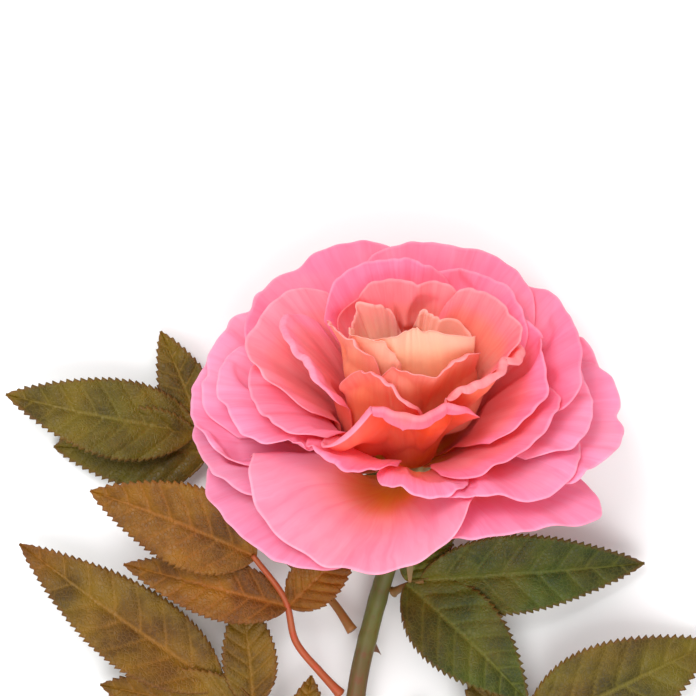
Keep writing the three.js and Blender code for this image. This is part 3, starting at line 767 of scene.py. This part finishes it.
def bark_streak_group():
    """Streaks of red along a rod: noise drawn out along it, added to the piece's own redness."""
    nodes, given, out = new_group(
        "bark streaks",
        [(key, "Float", 0.0) for key in ("Around", "Along", "Stripe", "Redness")],
        [("Red", "Float"), ("Height", "Float")],
    )
    around = nodes.math("MULTIPLY", given["Around"], 5.0)
    along = nodes.math("MULTIPLY", given["Along"], given["Stripe"])
    lines = nodes.noise(nodes.vector(around, along, 0.0), 1.0, 4.0)
    red = nodes.math("ADD", given["Redness"], nodes.ramp(lines, 0.45, 0.75, 0.0, 0.5), clamp=True)
    nodes.link(red, out["Red"])
    nodes.link(lines, out["Height"])
    return nodes.tree


BARK_STREAKS = bark_streak_group()
PITH = (205, 205, 150)


def bark_skin(name, green, red, stripe):
    """Young bark: green streaked red brown along the rod, redder where the redness value is high."""
    material, nodes, shader = new_skin(name)
    around, along, redness = (nodes.value(key) for key in ("around", "along", "redness"))
    streaks = nodes.group(BARK_STREAKS, Around=around, Along=along, Redness=redness, Stripe=stripe)
    cloud = nodes.noise(nodes.place(), 60.0, 3.0)
    darker = linear(*(0.8 * np.array(green)))
    colour = nodes.mix(nodes.ramp(cloud, 0.3, 0.7), linear(*green), darker)
    colour = nodes.mix(streaks["Red"], colour, linear(*red))
    colour = nodes.mix(nodes.value("pith"), colour, linear(*PITH))
    nodes.link(colour, shader.inputs["Base Color"])
    nodes.link(nodes.ramp(cloud, 0.2, 0.8, 0.4, 0.55), shader.inputs["Roughness"])
    nodes.link(nodes.bump(0.4, 0.0004, streaks["Height"]), shader.inputs["Normal"])
    shader.inputs["Specular IOR Level"].default_value = 0.4
    return material


LEAF_SKIN = leaf_skin()
STEM_BARK = bark_skin("stem bark", (98, 104, 44), (112, 52, 30), 60.0)
STALK_BARK = bark_skin("leaf stalk skin", (118, 112, 48), (168, 62, 30), 12.0)
HIP_SKIN = bark_skin("hip skin", (96, 122, 50), (120, 90, 46), 6.0)
SEPAL_SKIN = bark_skin("sepal skin", (104, 122, 58), (140, 84, 52), 4.0)

# ---- petals ----
def petal_taper(along, to_rim):
    """Thickness: thin at the very rim, full 4 mm from it, and thicker towards the claw."""
    return PETAL_THICKNESS * (0.6 + 0.4 * ease(to_rim / 4)) * (0.8 + 0.4 * ease(1 - along))


for order, petal in enumerate(PETALS):
    middle, along, across, to_rim = petal_middle(order)
    same = np.ones_like(along)
    values = {"along": along, "across": across, "to_rim": to_rim, "warmth": petal.warmth * same,
              "pale": petal.pale * same, "mauve": petal.mauve * same, "seed": 3.7 * order * same}
    family = petal.name.split("_")[0] + "_petals"
    part = sheet_part(on_bloom(middle), petal_taper(along, to_rim), values)
    make_piece(petal.name, [part], [PETAL_SKINS[family]], [petal.name])


# ---- hip and sepals ----
def smooth_profile(knots, count):
    """Catmull-Rom curve through the knots, count places spread evenly over them."""
    knots = np.asarray(knots, float)
    padded = np.concatenate([[2 * knots[0] - knots[1]], knots, [2 * knots[-1] - knots[-2]]])
    x = np.linspace(0, len(knots) - 1, count)
    i = np.minimum(x.astype(int), len(knots) - 2)
    return catmull_rom(*(padded[i + k] for k in range(4)), (x - i)[:, None])


HIP_ROWS = 44
HIP_SIDES = 48
HIP_RIBS = 5
RIB_DEPTH = 0.015       # share of the radius
POLE = 0.05             # radius of the smallest rings, at both ends
DOME_FROM = 0.6         # share of the profile where the dome's pale skin begins


def hip_part():
    """The urn's profile turned round its axis, with faint ribs, and pale over the dome."""
    inside = HIP_PROFILE.copy()
    inside[0, 0] = inside[-1, 0] = POLE
    profile = smooth_profile(inside, HIP_ROWS)
    turn = np.linspace(0, 2 * math.pi, HIP_SIDES, endpoint=False)[None, :]
    radius = np.maximum(profile[:, :1], POLE) * (1 + RIB_DEPTH * np.cos(HIP_RIBS * turn))
    height = np.broadcast_to(profile[:, 1:], radius.shape)
    rings = np.stack([radius * np.cos(turn), radius * np.sin(turn), height], -1)
    share = np.linspace(0, 1, len(profile))[:, None]
    return tube_part(on_bloom(rings), {
        "along": share,
        "around": np.sin(turn),
        "redness": 0.3 * (1 - share),
        "pith": ease((share - DOME_FROM) / 0.12),
    })


# Each sepal: azimuth, share of the full length, opening of its tip.
SEPALS = [(198, 1.0, 112), (270, 1.0, 128), (342, 1.0, 112), (54, 0.8, 106), (126, 0.8, 106)]


SEPAL_WIDTH = 3.4
SEPAL_TIP = 0.35
SEPAL_THICKNESS = 0.45
SEPAL_OPENING = 100     # of its foot, in degrees
SEPAL_DROP = 1.2        # how far it springs below the bloom's base
SEPAL_LOBES = ((0.45, 0.9, 0.035), (0.62, 0.7, 0.03))     # place, size and width


def sepal_part(azimuth, length, droop, order):
    """A tapering sheet bent back from the hip's rim: narrow tip, side lobes, and waved edges."""
    s, t = np.meshgrid(np.linspace(0, 1, 70), np.linspace(-1, 1, 15), indexing="ij")
    lobes = 1 + sum(size * np.exp(-((s - place) / width) ** 2) for place, size, width in SEPAL_LOBES)
    side = (SEPAL_WIDTH * (1 - s) ** 0.9 + SEPAL_TIP) * lobes * t
    opening = SEPAL_OPENING + (droop - SEPAL_OPENING) * s
    distance = DOME + SEPAL_DROP + length * s + 0.9 * np.abs(t) ** 3 * (lobes - 1)
    radius = distance * np.sin(np.radians(opening))
    cup = 0.09 * side ** 2 / (1 + np.abs(side))
    waved = 0.25 * np.sin(9 * s + order) * t * t
    height = distance * np.cos(np.radians(opening)) - SEPAL_DROP - 0.5 * cup + waved
    turn = math.radians(azimuth)
    middle = np.stack([radius * math.cos(turn) - side * math.sin(turn),
                       radius * math.sin(turn) + side * math.cos(turn), height], -1)
    values = {"along": s, "around": t, "redness": 0.6 * s ** 2}
    return sheet_part(on_bloom(middle), SEPAL_THICKNESS * (1 - 0.4 * s), values)


make_piece("hip", [hip_part()], [HIP_SKIN], ["hip"])
for order, (azimuth, share, droop) in enumerate(SEPALS):
    part = sepal_part(azimuth, SEPAL_LENGTH * share, droop, order)
    make_piece(f"sepal_{order + 1}", [part], [SEPAL_SKIN], [f"sepal_{order + 1}"])


# ---- routes ----
class Route:
    """Centripetal Catmull-Rom curve through its points, asked for by share of its length."""

    def __init__(self, points):
        p = np.asarray(points, float)
        padded = np.concatenate([[2 * p[0] - p[1]], p, [2 * p[-1] - p[-2]]])
        pieces = []
        f = np.linspace(0, 1, 60, endpoint=False)[:, None]
        for i in range(len(p) - 1):
            a, b, c, d = padded[i:i + 4]
            first, second, third = (max(np.linalg.norm(v) ** 0.5, 1e-4) for v in (b - a, c - b, d - c))
            leave = (b - a) / first - (c - a) / (first + second) + (c - b) / second
            arrive = (c - b) / second - (d - b) / (second + third) + (d - c) / third
            leave, arrive = leave * second, arrive * second
            cube = 2 * b - 2 * c + leave + arrive
            square = 3 * c - 3 * b - 2 * leave - arrive
            pieces.append(b + leave * f + square * f ** 2 + cube * f ** 3)
        self.points = np.concatenate([*pieces, p[-1:]])
        steps = np.linalg.norm(np.diff(self.points, axis=0), axis=1)
        self.length = steps.sum()
        self.share = np.concatenate([[0], np.cumsum(steps)]) / self.length

    def at(self, u):
        return np.stack([np.interp(u, self.share, self.points[:, k]) for k in range(3)], -1)

    def direction(self, u):
        step = 0.004
        return unit(self.at(np.minimum(u + step, 1)) - self.at(np.maximum(u - step, 0)))


def rod_rings(route, radius, places, sides, flute=0.0):
    """Rings square to the route: radius by place, with shallow flutes if asked for."""
    u = np.asarray(places, float)
    centre, direction = route.at(u), route.direction(u)
    right = unit(np.cross(direction, [0, 0, 1]))
    up = np.cross(right, direction)
    turn = np.linspace(0, 2 * math.pi, sides, endpoint=False)[None, :, None]
    size = radius(u)[:, None, None] * (1 + flute * np.cos(5 * turn))
    return centre[:, None] + size * (np.cos(turn) * right[:, None] + np.sin(turn) * up[:, None])


# ---- stem ----
NECK = on_bloom(np.array([0, 0, -HIP_LENGTH - JOINT_GAP - 0.3])) - GROUND
STEM_ROUTE = Route([
    NECK,
    (-0.6, NECK[1] - 5, NECK[2] - 3.6),
    (-5, -26, 8.5),
    (-10.5, -45, 8),
    (-15, -66, 9.5),
    (-16, -110, 11),
    (-11, -160, 9.5),
    (-9, -200, 6),
    (-10, -STEM_LENGTH, STEM_RADIUS * 1.12),
])
LEAF_SPRINGS = (0.14, 0.19, 0.27, 0.4, 0.5, 0.63)


def bare_stem_radius(u):
    """Slightly thicker towards the cut."""
    return STEM_RADIUS * (0.95 + 0.15 * u)


def stem_radius(u):
    """The bare radius, with a low swelling where each leaf springs."""
    swell = sum(np.exp(-((u - spring) / 0.008) ** 2) for spring in LEAF_SPRINGS)
    return bare_stem_radius(u) * (1 + 0.05 * swell)


def stem_part():
    """The rod, then a cut end that dips a little and shows its pith."""
    places = np.linspace(0, 1, STEM_PLACES)
    rings = rod_rings(STEM_ROUTE, stem_radius, places, STEM_SIDES, 0.02)
    end = STEM_ROUTE.at(np.array([1.0]))[:, None]
    inner = [end + (rings[-1:] - end) * share for share in (0.94, 0.6, 0.3, 0.05)]
    start = STEM_ROUTE.at(np.array([0.0]))[:, None]
    tip = [start + (rings[:1] - start) * share for share in (0.05, 0.9)]
    rings = np.concatenate([*tip, rings, *inner])
    along = np.concatenate([[0] * len(tip), places, [1] * len(inner)])[:, None]
    pith = np.concatenate([np.zeros(len(tip) + len(places)), [0.6, 1, 1, 1]])[:, None]
    around = np.sin(np.linspace(0, 2 * math.pi, STEM_SIDES, endpoint=False))[None, :]
    red = 0.25 + 0.2 * np.sin(9 * along) * np.cos(23 * along)
    values = {"along": along, "around": around, "redness": red, "pith": pith}
    return tube_part(rings + GROUND, values)


GOLDEN_ANGLE = 137.5
PRICKLE_LONG = 1.9      # half the foot along the stem
PRICKLE_BROAD = 0.75    # half the foot across it
PRICKLE_HOOK = 1.1


def prickle_part(u, number):
    """A flat hooked cone: an oval foot drawn out and bent back towards the root."""
    around = math.radians(number * GOLDEN_ANGLE + 20)
    direction = STEM_ROUTE.direction(np.array([u]))[0]
    side = np.array([1.0, 0, 0])
    up = unit(np.cross(side, direction))
    out = unit(math.cos(around) * side + (0.55 + 0.45 * math.sin(around)) * up)
    base = STEM_ROUTE.at(np.array([u]))[0] + out * (stem_radius(u) - 0.5)
    lean = unit(out + 0.35 * direction)
    forward = unit(direction - lean * direction.dot(lean))
    across = np.cross(forward, lean)
    h = np.linspace(0, 1, 16)[:, None, None]
    turn = np.linspace(0, 2 * math.pi, 14, endpoint=False)[None, :, None]
    thin = (1 - h) ** 1.5 + 0.03
    spread = PRICKLE_LONG * thin * np.cos(turn) * forward + PRICKLE_BROAD * thin * np.sin(turn) * across
    hook = PRICKLE_HOOK * h ** 2.2 * forward
    rings = base + spread + hook + PRICKLE_LENGTH * h * lean
    share = h[:, :, 0]
    values = {"along": share, "around": share, "redness": 0.75 + 0 * share}
    return tube_part(rings[:, ::-1] + GROUND, values)


PRICKLES = (0.2, 0.27, 0.36, 0.43, 0.52, 0.6, 0.68, 0.77, 0.85, 0.92)
stem_parts = [stem_part()] + [prickle_part(u, number) for number, u in enumerate(PRICKLES)]
make_piece("stem", stem_parts, [STEM_BARK], ["stem"])

# ---- leaves ----
# Each leaf: name, share of the stem where it springs, side, bronze, points of its stalk, leaflets.
# Each leaflet: foot, heading in degrees, length, width, rise of its tip, tilt of its blade.
LEAVES = [
    ("leaf_1", 0.14, 1, 0.05, [(-0.5, -34.5, 11.5), (4, -33, 14)], [
        ((3, -33, 14), 4, 64, 25, -9, 14),
        ((-1, -34, 13), -44, 48, 27, -1, -6),
        ((-1, -33, 13), 58, 26, 15, 0, 0),
    ]),
    ("leaf_2", 0.19, -1, 0.3, [(-22, -39, 6), (-32, -30, 5), (-46, -15, 4), (-58, 6, 7), (-61, 10, 8)], [
        ((-60, 9, 8), 169, 55, 25, 4, 10),
        ((-57, 3, 6), 178, 44, 26, -4, -8),
        ((-57, 4, 6), 112, 36, 18, -2, 0),
    ]),
    ("leaf_3", 0.27, -1, 0.8, [(-25, -59, 13), (-32, -50, 17), (-35, -38, 21), (-44, -25.5, 24)], [
        ((-43, -26, 24), 158, 50, 26, 4, -8),
        ((-34, -40, 21), 166, 48, 19, -6, 8),
        ((-34, -40, 21), 42, 27, 16, 2, 0),
    ]),
    ("leaf_4", 0.4, -1, 0.55, [(-27, -84, 11), (-40, -72, 11), (-54, -62, 12)], [
        ((-53, -63, 12), 145, 70, 26, -4, 10),
        ((-44, -69, 11), 172, 44, 21, -5, -6),
        ((-44, -69, 11), 96, 34, 17, 3, 6),
        ((-30, -82, 11), 205, 30, 17, -6, 0),
        ((-30, -82, 11), 84, 22, 13, -3, 0),
    ]),
    ("leaf_5", 0.5, 1, 0.35, [(-3, -107, 10), (12, -94, 8), (34, -76, 8)], [
        ((33, -77, 8), 26, 60, 32, -4, 8),
        ((24, -84, 8), -22, 46, 25, -6, -6),
        ((24, -84, 8), 92, 34, 19, -3, 4),
        ((6, -99, 8.8), -38, 32, 18, -6, 0),
        ((6, -99, 8.8), 96, 30, 16, -3, 0),
    ]),
    ("leaf_6", 0.63, -1, 0.3, [(-24, -141, 11), (-40, -132, 12), (-56, -124, 10)], [
        ((-55, -124, 10), 156, 50, 28, -3, 6),
        ((-45, -130, 12), 198, 40, 23, -5, -5),
        ((-45, -130, 12), 100, 34, 20, -3, 5),
        ((-31, -136.6, 11.5), 214, 28, 16, -5, 0),
    ]),
]
VEIN_PAIRS = 8
TOOTH_PITCH = 1.9
TOOTH_LENGTH = 0.04     # share of the leaflet's width
TOOTH_RISE = 0.84       # share of the pitch on the tooth's long side


def blade_part(foot, heading, length, width, rise, tilt, bronze, seed):
    """A toothed leaflet: oval outline with forward teeth, V fold, arch, sunk veins, raised cells."""
    share = np.linspace(0, 1, BLADE_ROWS)
    s, t = np.meshgrid(share, np.linspace(-1, 1, BLADE_COLUMNS), indexing="ij")
    half = width / 2 * np.abs(np.sin(math.pi * np.minimum(s, 0.9999) ** 0.8)) ** 0.8 * (1 - 0.25 * s)
    half = np.maximum(half, 0.35)
    teeth = length / TOOTH_PITCH
    saw = (s * teeth + 0.37 * np.sign(t)) % 1
    saw = np.where(saw < TOOTH_RISE, (saw / TOOTH_RISE) ** 1.3, (1 - saw) / (1 - TOOTH_RISE))
    body = ease(s / 0.14) * ease((1 - s) / 0.1)
    rim = np.abs(t) ** 7 * body
    tooth = TOOTH_LENGTH * width * (saw - 0.4) * rim
    side = (half + tooth) * t
    forward = length * s + 0.8 * np.abs(tooth) * (saw > 0.4)
    q = VEIN_PAIRS * (s - 0.5 * half / length * 1.7 * np.abs(t) ** 1.15) + 0.15 * np.sign(t)
    from_vein = np.abs(q - np.round(q)) * length / VEIN_PAIRS
    from_rib = np.abs(side)
    fade = ease((1 - np.abs(t)) / 0.15 + 0.25) * ease(half / 3)
    lateral = np.exp(-(from_vein / 0.5) ** 2) * (1 - 0.5 * np.abs(t)) * ease(half / 2)
    rib = np.exp(-(from_rib / (0.75 * (1.1 - 0.8 * s))) ** 2)
    cells = 0.5 * np.sin(math.pi * np.clip(np.abs(q - np.round(q)) * 2, 0, 1) / 2) * fade
    relief = cells * ease(from_rib / 2.5) - 0.28 * lateral - 0.45 * rib
    waves = 0.035 * width * np.abs(t) ** 2.5 * ripple(s * 1.3 + 0.4 * np.sign(t), seed) * body
    fold = 0.16 * np.sqrt(side ** 2 + 0.3) - 0.16 * math.sqrt(0.3)
    arch = 0.06 * length * np.sin(math.pi * s)
    lift = rise * s ** 1.5 + arch + fold + side * math.sin(math.radians(tilt)) + relief + waves
    turn = math.radians(heading)
    bend = 0.02 * length * np.sin(math.pi * s) * math.sin(seed * 1.7)
    x = foot[0] + forward * math.cos(turn) - (side + bend) * math.sin(turn)
    y = foot[1] + forward * math.sin(turn) + (side + bend) * math.cos(turn)
    middle = np.stack([x, y, foot[2] + lift], -1)
    values = {"along": s, "to_rim": (1 - np.abs(t)) * half, "vein": np.maximum(rib, 0.8 * lateral),
              "bronze": bronze + 0 * s}
    return sheet_part(middle + GROUND, BLADE_THICKNESS, values)


def stalk_radius(u):
    """Thickest at the foot, thinning quickly and then slowly towards the tip."""
    return STALK_RADIUS * (1.25 - 0.4 * u + 0.5 * np.exp(-u / 0.05))


def stalk_part(spring, side, points, bronze):
    """The leaf's stalk: a round rod from beside the stem through its points."""
    out = unit(np.array([side, 0.5, 0]))
    clearance = bare_stem_radius(spring) * 1.15 + JOINT_GAP + STALK_RADIUS * 1.6
    start = STEM_ROUTE.at(np.array([spring]))[0] + out * clearance
    route = Route([start, *points])
    places = np.linspace(0, 1, 60)
    rings = rod_rings(route, stalk_radius, places, STALK_SIDES)
    around = np.sin(np.linspace(0, 2 * math.pi, STALK_SIDES, endpoint=False))[None, :]
    along = places[:, None]
    values = {"along": along, "around": around, "redness": 0.2 + 0.7 * bronze + 0 * along}
    return tube_part(rings + GROUND, values, 1)


for number, (name, spring, side, bronze, points, leaflets) in enumerate(LEAVES):
    parts = [stalk_part(spring, side, points, bronze)]
    for k, leaflet in enumerate(leaflets):
        parts.append(blade_part(*leaflet, bronze, 5 * number + k))
    make_piece(name, parts, [LEAF_SKIN, STALK_BARK], [name])

# ---- floor, lights and camera, in metres ----
FLOOR_SIZE = 6
FLOOR_GREY = 0.86
bpy.ops.mesh.primitive_plane_add(size=FLOOR_SIZE)
floor = bpy.context.object
floor.name = "floor"
floor_skin, _, floor_shader = new_skin("pale floor")
floor_shader.inputs["Base Color"].default_value = (FLOOR_GREY, FLOOR_GREY, FLOOR_GREY, 1.0)
floor_shader.inputs["Roughness"].default_value = 0.9
floor.data.materials.append(floor_skin)

world = bpy.data.worlds.new("studio")
bpy.context.scene.world = world
world.use_nodes = True
sky = world.node_tree.nodes["Background"]
sky.inputs["Color"].default_value = (1.0, 1.0, 1.0, 1.0)
sky.inputs["Strength"].default_value = 0.8


def soft_light(name, place, target, width, power):
    """A square lamp of some width in metres and power in watts, aimed at the target."""
    lamp = bpy.data.lights.new(name, "AREA")
    lamp.size = width
    lamp.energy = power
    light = bpy.data.objects.new(name, lamp)
    bpy.context.scene.collection.objects.link(light)
    aim = np.array(target) - np.array(place)
    light.location = place
    light.rotation_mode = "QUATERNION"
    light.rotation_quaternion = Vector(aim).to_track_quat("-Z", "Y")


centre = BASE / 1000
soft_light("key", (centre[0] - 0.35, centre[1] + 0.5, 1.15), centre, 0.6, 10)
soft_light("fill", (centre[0] + 0.1, centre[1] - 0.75, 1.1), centre, 0.9, 9)

VIEW_WIDTH = 0.1942     # metres across the view at the bloom's middle height
MIDDLE_HEIGHT = 0.03
CAMERA_HEIGHT = 1.5
CAMERA_OFFSET = (-0.0173, 0.0326)
SENSOR_WIDTH = 36
camera_data = bpy.data.cameras.new("camera")
camera = bpy.data.objects.new("camera", camera_data)
bpy.context.scene.collection.objects.link(camera)
camera.location = (centre[0] + CAMERA_OFFSET[0], centre[1] + CAMERA_OFFSET[1], CAMERA_HEIGHT)
camera_data.sensor_width = SENSOR_WIDTH
camera_data.lens = SENSOR_WIDTH * (CAMERA_HEIGHT - MIDDLE_HEIGHT) / VIEW_WIDTH
camera_data.clip_end = 20
bpy.context.scene.camera = camera
bpy.context.scene.view_settings.view_transform = "Standard"
